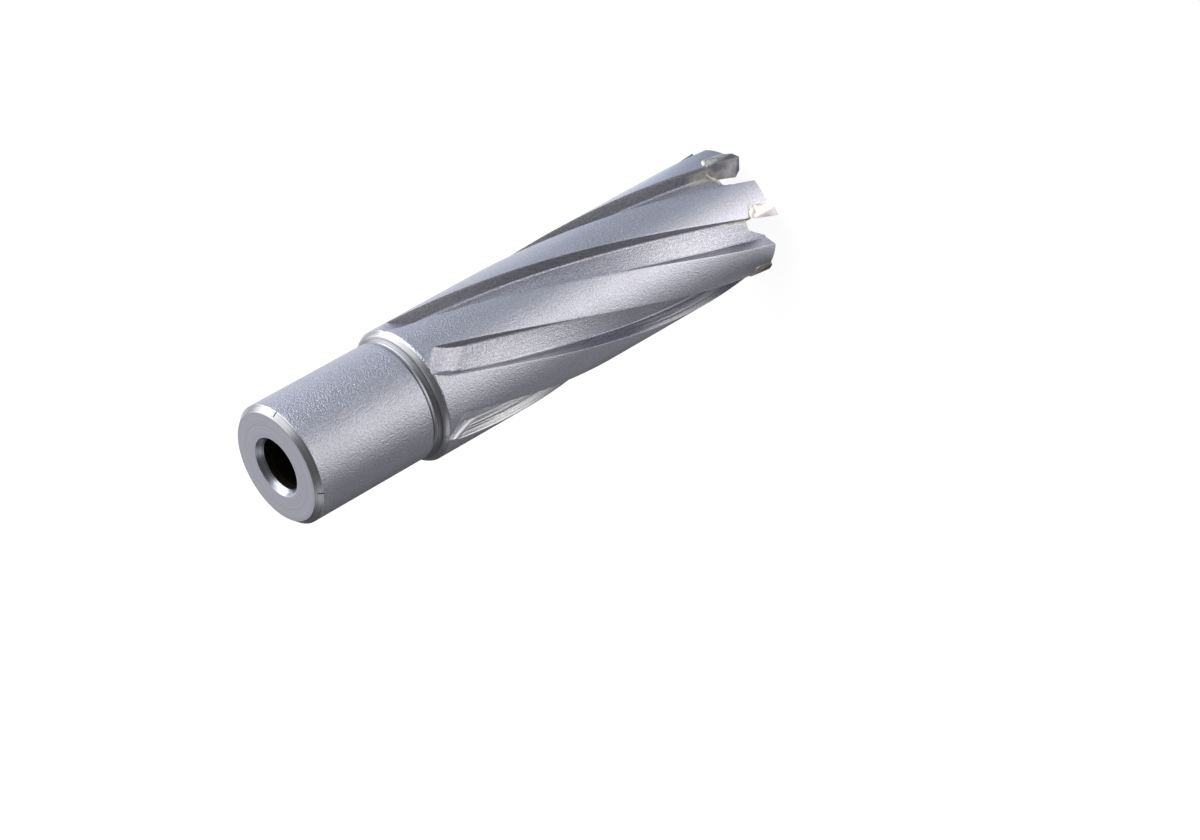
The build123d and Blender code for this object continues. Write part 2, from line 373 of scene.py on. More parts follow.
def mingled(first, second, share):
    """Two values added, the second one with its share and the first with the rest."""
    weighed = calculated("MULTIPLY", first, 1 - share)
    return calculated("ADD", weighed, calculated("MULTIPLY", second, share))


def relief(height, depth, normal=None):
    """Bump of the given depth in millimetres, over another one if there is one."""
    below = {} if normal is None else {"Normal": normal}
    sources = {"Strength": 1.0, "Distance": depth * MM, "Height": height, **below}
    return node("Bump", sources).outputs["Normal"]


def dress(material, colour, normal, **more):
    """Wires a finish to the material's surface."""
    surface = material.node_tree.nodes["Principled BSDF"]
    feed(surface, {"Base Color": colour, "Normal": normal, **more})
    return material


# %% [markdown]
# ### Blasted steel
# After hardening, the whole cutter is blasted with fine grit. Each grain leaves a tiny dent, so the
# steel goes grey and soft, and here and there a dent faces the lamp and glints. One noise of fine
# dents makes the relief and the colour together, so that the peaks are light. A second noise, much
# wider, lays faint clouds over the steel.

# %% Blasted steel
STEEL_DARK, STEEL_LIGHT = (0.43, 0.435, 0.505), (0.56, 0.567, 0.65)
CLOUD_GREY, CLOUD_SHARE = (0.36, 0.36, 0.40), 0.16
GRIT, GRIT_DEPTH, CLOUD = 0.24, 0.095, 5.0


def blasted_steel():
    made, tree = new_material("blasted_steel", STEEL_LIGHT, 0.41)
    place = in_millimetres(tree)
    grit = speckle(place, GRIT)
    steel = tone(grit, STEEL_DARK, STEEL_LIGHT, 0.34, 0.66)
    clouds = ranged(speckle(place, CLOUD), 0.3, 0.75, 0.0, CLOUD_SHARE)
    return dress(made, blended(clouds, steel, CLOUD_GREY), relief(grit, GRIT_DEPTH))


BLASTED = blasted_steel()
print("finish:", BLASTED.name)

# %% [markdown]
# ### Marks of the milling wheel
# The wheel moves along the flute, so its marks run along the flute too: noise that is drawn out,
# fine across and long along. The object's own coordinates don't know where a flute turns to, but the
# body's UV map "path" will hold millimetres across the flutes and up the axis, and noise that is
# squeezed in that map follows every twist. Near the teeth the flame of the torch has left a cream
# stain of flux at the foot of the cutting face.

# %% Milled steel
FLUX_CREAM, FLUX_METALLIC = (0.93, 0.89, 0.77), 0.15
STAIN_Z = (5.0, 10.0)
MILLED_GRIT = 0.22
WHEEL_LINE = 0.3


def flute_path(tree):
    """Millimetres across the flutes and up the axis."""
    return first_node(tree, "UVMap", uv_map="path")["UV"]


def drawn_out(path, length, detail, waviness):
    """Noise in lines along the flutes."""
    along = squeezed(path, (1 / WHEEL_LINE, 1 / length, 1))
    return speckle(along, 1.0, detail, waviness, "2D")


def swell(value, rise, fall, top=1.0):
    """Number that rises from 0 to the top in one range and falls back in another."""
    risen = ranged(value, *rise, 0.0, top)
    return calculated("MULTIPLY", risen, ranged(value, *fall, 1.0, 0.0))


def flux_stain(place, path, pitch_length, first, last):
    """Share of the stain: strongest just above a tip, between two distances from the edge."""
    low, high = STAIN_Z
    height = parts_of(place)["Z"]
    up = swell(height, (low - 1.5, low), ((low + high) / 2, high))
    from_edge = calculated("FLOORED_MODULO", parts_of(path)["X"], pitch_length)
    near = swell(from_edge, (first - 0.5, first), ((first + last) / 2, last))
    patchy = ranged(speckle(place, 1.2, 3.0), 0.25, 0.55, 0.55, 1.0)
    return calculated("MULTIPLY", calculated("MULTIPLY", up, near), patchy)


def milled_steel(name, dark, light, roughness, line_depth, stain):
    made, tree = new_material(name, light, roughness)
    place, path = in_millimetres(tree), flute_path(tree)
    grit = speckle(place, MILLED_GRIT, 1.0)
    lines = drawn_out(path, 12.0, 2.0, 0.6)
    steel = tone(mingled(grit, lines, 0.25), dark, light, 0.4, 0.62)
    share = flux_stain(place, path, *stain)
    return dress(
        made,
        blended(share, steel, FLUX_CREAM),
        relief(lines, line_depth, relief(grit, 0.09)),
        Metallic=ranged(share, 0.0, 1.0, 1.0, FLUX_METALLIC),
    )


# %% [markdown]
# The heel wall, opposite the cutting face, is the plainest: dark and even along most of the cutter,
# a painted shade for the wall inside the flute. But the wheel rubs where it comes out, and a little
# where it goes in above the teeth, and there it leaves ridges along the flute, whose light colour is
# partly the wheel's marks and partly a painted highlight. The height above the table blends them in.

# %% Heel wall: painted shade, and ridges with a painted highlight
# The heel's dark tones are painted shade for a wall inside the flute.
HEEL_PAINTED_SHADE_DARK, HEEL_PAINTED_SHADE_LIGHT = (0.22, 0.225, 0.28), (0.36, 0.365, 0.44)
# The ridges' light tone is partly the wheel's marks and partly a painted highlight.
RIDGE_DARK, RIDGE_MARK_AND_HIGHLIGHT = (0.34, 0.34, 0.385), (0.92, 0.92, 0.95)
RIDGE_DEPTH = 0.1
RIDGES_FROM_Z, RIDGES_FULL_Z = 40.0, 56.0
ENTRY_RISE_Z, ENTRY_FALL_Z, ENTRY_HIGHLIGHT_SHARE = (7.0, 14.0), (24.0, 34.0), 0.42


def heel_steel_painted_shade_and_highlight(name, lower):
    """Painted shade, and ridges with painted highlight that begin so many mm lower than usual."""
    made, tree = new_material(name, HEEL_PAINTED_SHADE_LIGHT, 0.46)
    place, path = in_millimetres(tree), flute_path(tree)
    grit = speckle(place, MILLED_GRIT, 1.0)
    plain = tone(grit, HEEL_PAINTED_SHADE_DARK, HEEL_PAINTED_SHADE_LIGHT, 0.4, 0.62)
    ridges = drawn_out(path, 30.0, 1.0, 0.4)
    ridge_tone_and_highlight = tone(ridges, RIDGE_DARK, RIDGE_MARK_AND_HIGHLIGHT, 0.4, 0.58)
    height = parts_of(place)["Z"]
    exit_marks_and_highlight = ranged(height, RIDGES_FROM_Z - lower, RIDGES_FULL_Z - lower)
    # Above the teeth the light ridges are a painted highlight as much as marks.
    entry_marks_and_highlight = swell(height, ENTRY_RISE_Z, ENTRY_FALL_Z, ENTRY_HIGHLIGHT_SHARE)
    share = calculated("MAXIMUM", exit_marks_and_highlight, entry_marks_and_highlight)
    raised = calculated("MULTIPLY", ridges, share)
    normal = relief(raised, RIDGE_DEPTH, relief(grit, 0.05))
    return dress(made, blended(share, plain, ridge_tone_and_highlight), normal)


# %% [markdown]
# The notches are cut last, after the blasting, so they keep the short bright marks of their own
# small cutter. These marks lie level, so the noise is squeezed along the axis.

# %% Milled notch
def milled_notch_steel():
    made, tree = new_material("milled_notch", (0.5, 0.5, 0.54), 0.42)
    marks = speckle(squeezed(in_millimetres(tree), (0.6, 0.6, 5.0)), 0.8, 3.0)
    steel = tone(marks, (0.36, 0.36, 0.40), (0.56, 0.555, 0.60), 0.35, 0.65)
    return dress(made, steel, relief(marks, 0.02))


# %% [markdown]
# ### Marks of the lathe
# A lathe's tool draws rings round the axis. Noise that depends only on the distance from the axis
# and on the height gives such rings everywhere, on a chamfer as well as on a flat face.

# %% Turned steel
LATHE_RING = 0.16


def lathe_rings(place):
    """Noise in rings round the axis."""
    parts = parts_of(place)
    level = node("CombineXYZ", {"X": parts["X"], "Y": parts["Y"]}).outputs[0]
    profile = {"X": length_of(level), "Y": parts["Z"]}
    return speckle(node("CombineXYZ", profile).outputs[0], LATHE_RING, 1.0, 0.0, "2D")


def turned_steel(name, dark, light, roughness, ring_depth=0.006, grit_depth=0.0):
    made, tree = new_material(name, light, roughness)
    place = in_millimetres(tree)
    marks = lathe_rings(place)
    grit = relief(speckle(place, MILLED_GRIT, 1.0), grit_depth) if grit_depth else None
    return dress(made, tone(marks, dark, light, 0.35, 0.65), relief(marks, ring_depth, grit))


# %% [markdown]
# ## The flute, seen across the axis
# A flute is a channel that a milling wheel leaves. Cut the cutter across its axis and every flute
# shows the same outline: an upright cutting face, a flat floor and a heel wall that leans out a
# little. No real corner is perfectly sharp, so each one gets a small round: that is what catches
# the light as a fine bright line. A small arc between two straight runs makes such a round.

# %% Outline helpers
def polar(radius, degrees):
    angle = math.radians(degrees)
    return np.array((radius * math.cos(angle), radius * math.sin(angle)))


def direction(start, end):
    run = np.asarray(end, float) - np.asarray(start, float)
    return run / np.linalg.norm(run)


def rounded_corner(point, way_in, way_out, radius, count):
    """Points of an arc that replaces a corner, touching the runs before and after it."""
    turning = math.acos(max(-1.0, min(1.0, float(np.dot(way_in, way_out)))))
    inward = direction(way_in * np.dot(way_in, way_out), way_out)
    start = np.asarray(point, float) - way_in * radius * math.tan(turning / 2)
    swing = np.linspace(0, turning, count)[:, None]
    return start + inward * radius * (1 - np.cos(swing)) + way_in * radius * np.sin(swing)


def between(start, end, count):
    """Points strictly between two points."""
    steps = np.linspace(0, 1, count + 2)[1:-1, None]
    return (1 - steps) * np.asarray(start) + steps * np.asarray(end)


# %% One pitch of the outline
FLOOR_R = CUT_R - 2.51
FLOOR_ARC = 26.0
HEEL_LEAN = 6.0
HELIX_LEAD = 231.0
TWIST = 360 / HELIX_LEAD
EDGE_ROUND = 0.07
FLOOR_ROUND = 0.35
LAND, RAKE, FLOOR, HEEL = range(4)


def heel_rim(land_r):
    """Where the heel wall meets the land: the corner of the floor, pushed out along the wall."""
    corner, wall = polar(FLOOR_R, -FLOOR_ARC), polar(1, -FLOOR_ARC - HEEL_LEAN)
    along = float(np.dot(corner, wall))
    reach = -along + math.sqrt(along**2 + land_r**2 - FLOOR_R**2)
    return corner + wall * reach


def pitch_outline(land_r):
    """Points from one cutting edge to the next, turning clockwise, and the side of each one."""
    rim = heel_rim(land_r)
    rim_angle = math.degrees(math.atan2(rim[1], rim[0]))
    corners = (polar(land_r, 0), polar(FLOOR_R, 0), polar(FLOOR_R, -FLOOR_ARC), rim)
    walls = [direction(start, end) for start, end in zip(corners, corners[1:])]
    ways = [polar(1, -90), *walls, polar(1, rim_angle - 90)]
    radii, counts = (EDGE_ROUND, FLOOR_ROUND, FLOOR_ROUND, EDGE_ROUND), (3, 6, 6, 3)
    curves = [rounded_corner(*row) for row in zip(corners, ways, ways[1:], radii, counts)]
    runs = [between(a[-1], b[0], count) for a, b, count in zip(curves, curves[1:], (5, 12, 5))]
    margin = math.degrees(EDGE_ROUND / land_r)
    land_angles = np.linspace(rim_angle - margin, -PITCH + margin, 20)[1:-1]
    runs.append([polar(land_r, angle) for angle in land_angles])
    sides = [np.concatenate(side) for side in zip(curves, runs)]
    return np.concatenate(sides), np.repeat((RAKE, FLOOR, HEEL, LAND), [len(side) for side in sides])


outline, COLUMN_KIND = pitch_outline(TEETH_R)
COLUMNS = len(outline)
rim_x, rim_y = heel_rim(TEETH_R)
land_degrees = PITCH + math.degrees(math.atan2(rim_y, rim_x))
print("points in one pitch:", COLUMNS, "land in degrees:", round(land_degrees, 1))

# %% [markdown]
# ## Where the wheel leaves the steel
# Near the shoulder the flutes don't stop at a wall. The wheel is lifted, or rather it is round, so
# its rim leaves a long shallow curve. We could cut that curve with a boolean, but the outline gives
# a neater way: for every point of the flute we ask how far from the axis the wheel's disc begins
# there, and where the disc hasn't reached as deep as the flute, the steel stays up to the disc.

# %% The milling wheel
WHEEL_R = 17.5
WHEEL_Z = SHOULDER_Z - 8.4
WHEEL_TURN = 20.2
WHEEL_FLANK = math.tan(math.radians(28))
WHEEL_BELOW_FLOOR = 0.02
RAKE_SLOPE = math.tan(math.radians(TWIST)) * CUT_R
LEAN = math.atan(RAKE_SLOPE)
HALVINGS = 26


def wheel_axes():
    """Centre of the wheel at its last place, its axle, its way up the flute, its lowest line."""
    angle = TWIST * WHEEL_Z - WHEEL_TURN
    outward = np.array((*polar(1, angle), 0))
    heelward = np.array((*polar(1, angle - 90), 0))
    up = np.array((0.0, 0.0, 1.0))
    axle = heelward * math.cos(LEAN) + up * math.sin(LEAN)
    along = up * math.cos(LEAN) - heelward * math.sin(LEAN)
    lowest = FLOOR_R * math.cos(math.radians(WHEEL_TURN)) - WHEEL_BELOW_FLOOR
    return outward * (lowest + WHEEL_R) + up * WHEEL_Z, axle, along, lowest


def in_reach(radius, degrees, height):
    """Above zero where the wheel has taken the steel, at angles from the cutting face."""
    centre, axle, along, lowest = wheel_axes()
    foot = polar(FLOOR_R, FLOOR_ARC - WHEEL_TURN)
    flank_start = foot[1] * math.cos(LEAN) - (foot[0] - lowest) * WHEEL_FLANK
    turned = np.radians(degrees + TWIST * height)
    place = np.stack([radius * np.cos(turned), radius * np.sin(turned), height], -1) - centre
    on_axle, on_way = place @ axle, place @ along
    spread = np.sqrt(np.maximum((place**2).sum(-1) - on_axle**2, 0))
    disc = WHEEL_R - np.maximum(on_axle - flank_start, 0) / WHEEL_FLANK - spread
    return np.maximum(disc, -on_way)


def wheel_floor(degrees, height, land_r):
    """Distance from the axis at which the wheel's cut begins, by halving the search range."""
    low = np.full(degrees.shape, FLOOR_R - 1.0)
    high = np.full(degrees.shape, land_r + 1.0)
    for _ in range(HALVINGS):
        middle = (low + high) / 2
        reached = in_reach(middle, degrees, np.full(degrees.shape, height)) > 0
        high = np.where(reached, middle, high)
        low = np.where(reached, low, middle)
    return high


def land_radius(height):
    """Radius of the turned blank along the fluted length and the shoulder's chamfer."""
    if height <= SHOULDER_Z:
        share = (height - BODY_END_Z) / (SHOULDER_Z - BODY_END_Z)
        return TEETH_R + (SHOULDER_R - TEETH_R) * share
    share = (height - SHOULDER_Z) / (GROOVE_BOTTOM_Z - SHOULDER_Z)
    return SHOULDER_R + (SHANK_R - SHOULDER_R) * share


def fluted_pitch(height):
    """Distance from the axis and angle of one pitch's points at a height."""
    land_r = land_radius(height)
    points, _ = pitch_outline(land_r)
    radius = np.hypot(points[:, 0], points[:, 1])
    degrees = np.degrees(np.unwrap(np.arctan2(points[:, 1], points[:, 0])))
    floor_r = wheel_floor(degrees, height, land_r)
    return np.minimum(np.maximum(radius, floor_r), land_r), degrees + TWIST * height


print("wheel's lowest line is", round(float(wheel_axes()[3]), 2), "mm from the axis")

# %% [markdown]
# ## The body as one closed net
# A body like this can be netted like a basket: rings of points, one ring for each height, and the
# same number of points in each ring. Up the outside go the fluted rings, then the shoulder, groove,
# shank and rear face, and down the inside come the countersink, the bore and the hollow, until the
# last ring joins the first. Every face is a neat four-sided patch, so the light runs over it
# smoothly. Where the rings of the run-out need more detail, they simply lie closer together.

# %% Rings of the fluted length
TIP_ZONE_Z, RUN_OUT_ZONE_Z = 9, 56
SHOULDER_ROUND = 0.08

ring_heights = np.concatenate(
    [
        np.linspace(BODY_END_Z, TIP_ZONE_Z, 16)[:-1],
        np.linspace(TIP_ZONE_Z, RUN_OUT_ZONE_Z, 60)[:-1],
        np.linspace(RUN_OUT_ZONE_Z, SHOULDER_Z - SHOULDER_ROUND, 66),
        [SHOULDER_Z + SHOULDER_ROUND],
    ]
)
fluted = [fluted_pitch(height) for height in ring_heights]


def whole_ring(radius, degrees, height):
    """One pitch, repeated round the axis, as points in space."""
    angles = np.radians(np.concatenate([degrees - PITCH * k for k in range(TEETH)]))
    far = np.tile(radius, TEETH)
    return np.stack([far * np.cos(angles), far * np.sin(angles), np.full(len(far), height)], -1)


rings = [whole_ring(r, d, z) for (r, d), z in zip(fluted, ring_heights)]
plain_angles = fluted[0][1] - TWIST * ring_heights[0]
print("fluted rings:", len(rings))

# %% [markdown]
# The turned part is an outline of radius and height. The lathe's tool leaves a small round at each
# corner here too. Under the shank lies a hollow relief groove: it is undercut below the shank's
# edge and sweeps out into the shoulder's chamfer. A thin scribed line runs round that chamfer, and
# the rear edge has a chamfer of its own. The net's columns keep turning with the helix all the way,
# on the round parts too and back down the bore, so that the last ring meets the first without a
# twist in the net.

# %% Rings of the turned part
TURNED_ROUND = 0.08
ROW_GAP = 0.8
GROOVE_R = SHANK_R - 0.3
GROOVE_SLOPE = 1.25
GROOVE_SWEEP = 0.3
UNDERCUT = ((0.0, 0.42), (0.08, 0.24), (0.23, 0.07))
SCRIBED_Z = 70.54
SCRIBED_WIDTH = 0.14
SCRIBED_DEPTH = 0.12
CHAMFER_R = SHANK_R - 0.83
CHAMFER_Z = TOTAL_H - 0.95
BORE_R = 4.1
SINK_R = 4.73
SINK_Z = TOTAL_H - (SINK_R - BORE_R) / math.tan(math.radians(30))
CORE_ROUND = 1.0
SHOULDER, GROOVE, SHANK, REAR_CHAMFER, REAR_FACE, SINK, BORE, CORE = range(4, 12)
RIM, RUN_OUT, COVE = range(12, 15)


def groove_rows():
    """Scribed line and groove: (radius, height, kind of surface that follows)."""
    slope = (SHOULDER_R - SHANK_R) / (GROOVE_BOTTOM_Z - SHOULDER_Z)
    scribed_r = land_radius(SCRIBED_Z)
    upper_r, upper_z = scribed_r - SCRIBED_WIDTH * slope, SCRIBED_Z + SCRIBED_WIDTH
    foot = (GROOVE_R, upper_z + (upper_r - GROOVE_R) / GROOVE_SLOPE)
    way_in, upward = direction((upper_r, upper_z), foot), np.array((0.0, 1.0))
    sweep = rounded_corner(foot, way_in, upward, GROOVE_SWEEP, 7)
    return [
        (scribed_r, SCRIBED_Z, GROOVE),
        (scribed_r - SCRIBED_DEPTH * 1.5, SCRIBED_Z + SCRIBED_WIDTH * 0.4, GROOVE),
        (upper_r, upper_z, COVE),
        *((*point, COVE) for point in sweep),
        *((GROOVE_R + out, GROOVE_TOP_Z - down, GROOVE) for out, down in UNDERCUT),
    ]


def turned_outline():
    """The same for the whole turned part, from the groove round to the body's end."""
    corners = (
        (SHANK_R, GROOVE_TOP_Z, SHANK),
        (SHANK_R, CHAMFER_Z, REAR_CHAMFER),
        (CHAMFER_R, TOTAL_H, REAR_FACE),
        (SINK_R, TOTAL_H, SINK),
        (BORE_R, SINK_Z, BORE),
        (BORE_R, CORE_TOP_Z, CORE),
        (CORE_R, CORE_TOP_Z, CORE),
        (CORE_R, BODY_END_Z, RIM),
    )
    rounds = [TURNED_ROUND] * 6 + [CORE_ROUND, 0.0]
    rows = groove_rows()
    places = [rows[-1][:2], *(corner[:2] for corner in corners), (TEETH_R, BODY_END_Z)]
    for i, (radius, (*point, kind)) in enumerate(zip(rounds, corners), start=1):
        way_in, way_out = direction(places[i - 1], point), direction(point, places[i + 1])
        curve = rounded_corner(point, way_in, way_out, radius, 5) if radius else [point]
        *last, last_kind = rows[-1]
        extra = between(last, curve[0], int(math.dist(last, curve[0]) // ROW_GAP))
        rows += [(*p, last_kind) for p in extra] + [(*p, kind) for p in curve]
    return rows


turned_rows = turned_outline()
rings += [whole_ring(np.full(COLUMNS, r), plain_angles + TWIST * z, z) for r, z, _ in turned_rows]
print("turned rings:", len(turned_rows))

# %% [markdown]
# Four neighbouring points of the net make one face, and each face has to know what kind of surface
# it is. On the round parts the ring decides. On the fluted length the column decides where the
# wheel has cut, and where the wheel's round has left more steel than the flute, it is the run-out.

# %% Faces of the net
HAIR = 0.004


def ring_kinds():
    """Kind of surface for each band of faces, where the flutes don't decide."""
    bands = [SHOULDER if z >= SHOULDER_Z else LAND for z in ring_heights]
    return bands + [kind for _, _, kind in turned_rows]


def cut_deeper(ring):
    """Which points of a fluted ring lie below the turned skin."""
    return fluted[ring][0] < land_radius(ring_heights[ring]) - HAIR


def cut_by_wheel(ring):
    """Which of these points lie on the wheel's round instead of on the flute's own walls."""
    points, _ = pitch_outline(land_radius(ring_heights[ring]))
    return (fluted[ring][0] > np.hypot(points[:, 0], points[:, 1]) + HAIR) & cut_deeper(ring)


def net_faces():
    """Four-cornered faces between neighbouring rings, and the kind of surface of each."""
    around = COLUMNS * TEETH
    faces, kinds = [], []
    for ring, band in enumerate(ring_kinds()):
        low, high = ring * around, (ring + 1) % len(rings) * around
        fluted_band = ring < len(ring_heights) - 1
        deep = cut_deeper(ring) if fluted_band else None
        round_cut = cut_by_wheel(ring) if fluted_band else None
        for column in range(around):
            beside = (column + 1) % around
            faces.append((low + column, high + column, high + beside, low + beside))
            c, n = column % COLUMNS, beside % COLUMNS
            kind = int(COLUMN_KIND[c]) if fluted_band and (deep[c] or deep[n]) else band
            kinds.append(RUN_OUT if kind == HEEL and round_cut[c] else kind)
    return faces, kinds


faces, face_kinds = net_faces()
print("patches in the net:", len(faces))

# %% [markdown]
# Each surface gets the number of its finish, and a pair of coordinates that runs with the work: the
# distance across the outline and the distance up the axis. A finish can then draw its milling lines
# along the flute, wherever the flute turns to.

# %% Object from points
SAME_PLACE = 0.0005


def new_piece(name, points, faces, materials=(), face_kinds=None):
    """Mesh object from points, still in millimetres."""
    mesh = bpy.data.meshes.new(name)
    mesh.from_pydata([tuple(p) for p in np.asarray(points, float)], [], faces)
    for material in materials:
        mesh.materials.append(material)
    if face_kinds is not None:
        mesh.polygons.foreach_set("material_index", face_kinds)
    return in_scene(name, mesh)


def across_outline():
    """Distance of each column from the first cutting edge, measured along the outline."""
    closed = np.vstack([outline, polar(TEETH_R, -PITCH)])
    steps = np.hypot(*np.diff(closed, axis=0).T)
    first, pitch_length = np.concatenate([[0], np.cumsum(steps)[:-1]]), steps.sum()
    pitches = [first + pitch_length * k for k in range(TEETH)]
    return np.concatenate([*pitches, [pitch_length * TEETH]])


def lay_coordinates(mesh):
    """UV map in millimetres: u across the flutes, v up the axis."""
    around = COLUMNS * TEETH
    u = across_outline()
    corners = np.empty(len(mesh.loops), np.int32)
    mesh.loops.foreach_get("vertex_index", corners)
    column = corners % around
    height = np.array([ring[0, 2] for ring in rings])[corners // around]
    on_seam = np.tile([False, False, True, True], len(mesh.polygons)) & (column == 0)
    values = np.stack([np.where(on_seam, u[-1], u[column]), height], -1)
    mesh.uv_layers.new(name="path").data.foreach_set("uv", values.astype(np.float32).ravel())


def orient(piece, join=0.0):
    """Joins points closer than join, where a wall has run out, and turns all faces outward."""
    net = bmesh.new()
    net.from_mesh(piece.data)
    if join:
        bmesh.ops.remove_doubles(net, verts=net.verts, dist=join)
    bmesh.ops.recalc_face_normals(net, faces=net.faces)
    open_edges = sum(not edge.is_manifold for edge in net.edges)
    net.to_mesh(piece.data)
    net.free()
    return open_edges


body = new_piece("body_of_tool_steel", np.concatenate(rings), faces, (), face_kinds)
lay_coordinates(body.data)
print("edges that aren't closed:", orient(body, SAME_PLACE), "points:", len(body.data.vertices))

# %% [markdown]
# ## Notches, pockets and flats
# The mill now takes its last cuts: a rounded notch ahead of each tip, the pocket that the tip sits
# in, and the two flats on the shank. Each cutter is a block that is lofted through a few outlines,
# and a Boolean modifier subtracts it, just as metal is taken away. The faces that it leaves take the
# cutter's own material, so a freshly milled surface can look different from a blasted one.

# %% Blocks through outlines
CLEAR = 1.5
BELOW_Z = -CLEAR
OUTSIDE_R = CUT_R + CLEAR
INSIDE_R = CUT_R - 4.16 - CLEAR
TOOTH_ANGLES = [PITCH * k for k in range(TEETH)]


def around_axis(points, degrees):
    """Points turned about the cutter's axis."""
    c, s = math.cos(math.radians(degrees)), math.sin(math.radians(degrees))
    return np.asarray(points, float) @ np.array([[c, s, 0], [-s, c, 0], [0, 0, 1]])


def lofted(outlines):
    """Points and faces of a closed block through outlines of equal length."""
    count, last = len(outlines[0]), len(outlines[0]) * (len(outlines) - 1)
    faces = [tuple(range(count))[::-1], tuple(range(last, last + count))]
    for low in range(0, last, count):
        for i in range(low, low + count):
            j = low + (i + 1 - low) % count
            faces.append((i, j, j + count, i + count))
    return np.concatenate(outlines), faces


def outward_block(outlines, distances):
    """Block through outlines (back, up) that stand at distances from the axis."""
    return lofted([np.column_stack([np.full(len(o), d), o]) for o, d in zip(outlines, distances)])


def repeated(block, angles):
    """The same block at several angles round the axis, in one mesh."""
    points, faces = block
    all_points = np.concatenate([around_axis(points, angle) for angle in angles])
    steps = [len(points) * k for k in range(len(angles))]
    return all_points, [tuple(i + step for i in face) for step in steps for face in faces]


def rake_x(height):
    return height * RAKE_SLOPE


def soft_polygon(corners, rounds, count=8):
    """Closed outline whose corners have the given rounds; 0 keeps a corner sharp."""
    runs = []
    for i, (corner, radius) in enumerate(zip(corners, rounds)):
        before, after = corners[i - 1], corners[(i + 1) % len(corners)]
        way_in, way_out = direction(before, corner), direction(corner, after)
        curve = rounded_corner(corner, way_in, way_out, radius, count) if radius else [corner]
        runs.append(np.asarray(curve, float))
    return np.concatenate(runs)


# %% Notches
NOTCH_STRAIGHT_R = CUT_R - 3.11
NOTCH_IN = (4.5, 2.4, 0.7)
NOTCH_RIM = (7.0, 5.6, 0.38)
NOTCH_ROUND = 1.0


def notch_outline(outward):
    """Outline of the notch at a distance from the axis: narrow at the bore, wide at the rim.

    NOTCH_IN and NOTCH_RIM hold its height, its width at the top and the slope of its back.
    """
    part = (outward - NOTCH_STRAIGHT_R) / (TEETH_R - NOTCH_STRAIGHT_R)
    height, width, slope = (a + (b - a) * part for a, b in zip(NOTCH_IN, NOTCH_RIM))
    back = rake_x(height) - width
    corners = [
        (rake_x(BELOW_Z), BELOW_Z),
        (rake_x(height), height),
        (back, height),
        (back - (height - BELOW_Z) * slope, BELOW_Z),
    ]
    return soft_polygon(corners, (0, NOTCH_ROUND, NOTCH_ROUND, 0))


notch_outlines = [notch_outline(d) for d in (NOTCH_STRAIGHT_R, NOTCH_STRAIGHT_R, OUTSIDE_R)]
notch = outward_block(notch_outlines, (INSIDE_R, NOTCH_STRAIGHT_R, OUTSIDE_R))
notches = new_piece("notch_cutter", *repeated(notch, TOOTH_ANGLES))

# %% Pockets
TIP_LEN = 5.7
TIP_THICK = 2.0
TIP_PROUD = 0.15
TIP_CORNER = 1.3
BRAZE_GAP = 0.15
POCKET_AHEAD = 0.6


def pocket_outline(ahead, margin):
    """Outline of a tip along the radius, grown by a margin at its back and its upper end."""
    top = TIP_LEN + margin
    back = TIP_THICK / math.cos(LEAN) - TIP_PROUD + margin
    corners = [
        (rake_x(BELOW_Z) - ahead, BELOW_Z),
        (rake_x(top) - ahead, top),
        (rake_x(top) + back, top),
        (rake_x(BELOW_Z) + back, BELOW_Z),
    ]
    return soft_polygon(corners, (0, 0, TIP_CORNER + margin, 0))


pocket_side = pocket_outline(POCKET_AHEAD, BRAZE_GAP)
pocket = outward_block([pocket_side, pocket_side], (INSIDE_R, OUTSIDE_R))
pockets = new_piece("pocket_cutter", *repeated(pocket, TOOTH_ANGLES))

# %% Flats
FLAT_DEPTH = 1.3
FLAT_TOP_Z = TOTAL_H - 6.0
FLAT_END_Z = FLAT_TOP_Z - 12.0
FLAT_ANGLES = (45.0, 135.0)
FLAT_HALF = 5.6

across_flat = ((-FLAT_HALF, FLAT_END_Z), (FLAT_HALF, FLAT_END_Z))
flat_side = np.array([*across_flat, (FLAT_HALF, FLAT_TOP_Z), (-FLAT_HALF, FLAT_TOP_Z)])
flat = outward_block([flat_side, flat_side], (SHANK_R - FLAT_DEPTH, SHANK_R + 1))
flats = new_piece("flat_cutter", *repeated(flat, FLAT_ANGLES))

# %% [markdown]
# On the side away from the flats, two fine scores cross the rear chamfer, a quarter turn apart. A
# thin wedge that lies along the chamfer's slope cuts each of them.

# %% Marks across the rear chamfer
MARK_ANGLES = (-52.4, -141.4)
MARK_WIDTH = 0.2
MARK_DEPTH = 0.16
MARK_START, MARK_END = -0.1, 0.85


def chamfer_mark():
    """Wedge along the chamfer, from just below its lower edge."""
    half = MARK_WIDTH / 2
    section = ((-half, 0.0), (0.0, -MARK_DEPTH), (half, 0.0), (0.0, 1.0))
    edge = np.array((SHANK_R, CHAMFER_Z))
    slope = direction(edge, (CHAMFER_R, TOTAL_H))
    outward = np.array((slope[1], -slope[0]))
    outlines = []
    for r, z in (edge + slope * MARK_START, edge + slope * MARK_END):
        outlines.append([(r + outward[0] * h, w, z + outward[1] * h) for w, h in section])
    return lofted(outlines)


marks = new_piece("mark_cutter", *repeated(chamfer_mark(), MARK_ANGLES))

# %% Modifiers
def modify(piece, kind, **settings):
    """Puts a modifier on a piece and turns the result into plain mesh."""
    with_settings(piece.modifiers.new(kind, kind), **settings)
    bpy.context.view_layer.update()
    graph = bpy.context.evaluated_depsgraph_get()
    made = bpy.data.meshes.new_from_object(piece.evaluated_get(graph))
    piece.modifiers.clear()
    piece.data = made


def cut_away(piece, cutter, operation="DIFFERENCE"):
    exact = {"solver": "EXACT", "material_mode": "TRANSFER"}
    modify(piece, "BOOLEAN", object=cutter, operation=operation, **exact)
    bpy.data.objects.remove(cutter)
